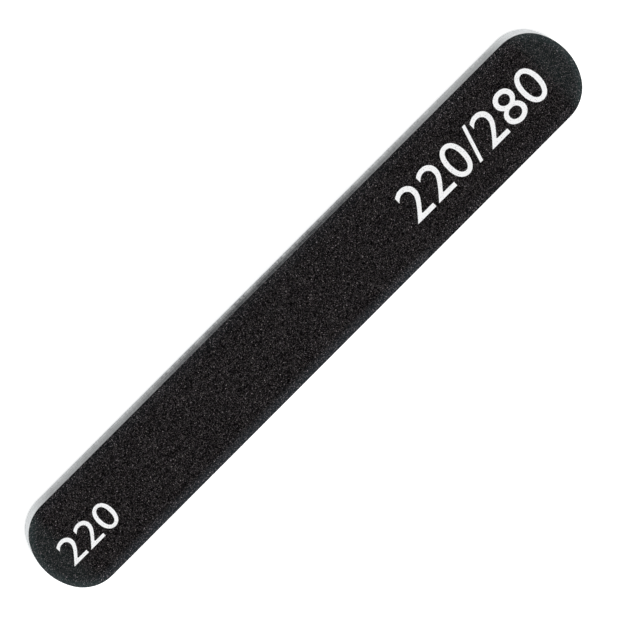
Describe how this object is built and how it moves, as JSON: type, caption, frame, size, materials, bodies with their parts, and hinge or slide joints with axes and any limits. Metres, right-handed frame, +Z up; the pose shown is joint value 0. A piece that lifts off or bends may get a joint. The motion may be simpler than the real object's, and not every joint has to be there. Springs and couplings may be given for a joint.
{
  "type": "emery board",
  "caption": "Flat cushioned nail file with rounded ends: abrasive faces on backing paper, over foam glued to a stiff core strip, for shaping and smoothing nails.",
  "frame": {"origin": "centre of the underside, where the board rests on a table", "axes": "+X along the board, +Y across it, +Z up out of the printed face"},
  "size_m": [0.178, 0.0254, 0.0063],
  "materials": {
    "grit": "black abrasive grains in a resin bond, matt with small bright facets",
    "backing_paper": "pale grey stout paper, seen as a cut edge",
    "adhesive": "hazy film, seen as a cut edge",
    "foam": "white closed-cell foam with a matt, finely pitted cut flank",
    "core": "white styrene strip with a sheared edge"
  },
  "bodies": {
    "root": {"top_grit_coat": "grit", "top_backing_paper": "backing_paper", "top_paper_adhesive": "adhesive", "top_foam_cushion": "foam", "top_core_adhesive": "adhesive", "core_strip": "core", "bottom_core_adhesive": "adhesive", "bottom_foam_cushion": "foam", "bottom_paper_adhesive": "adhesive", "bottom_backing_paper": "backing_paper", "bottom_grit_coat": "grit"}
  },
  "joints": []
}
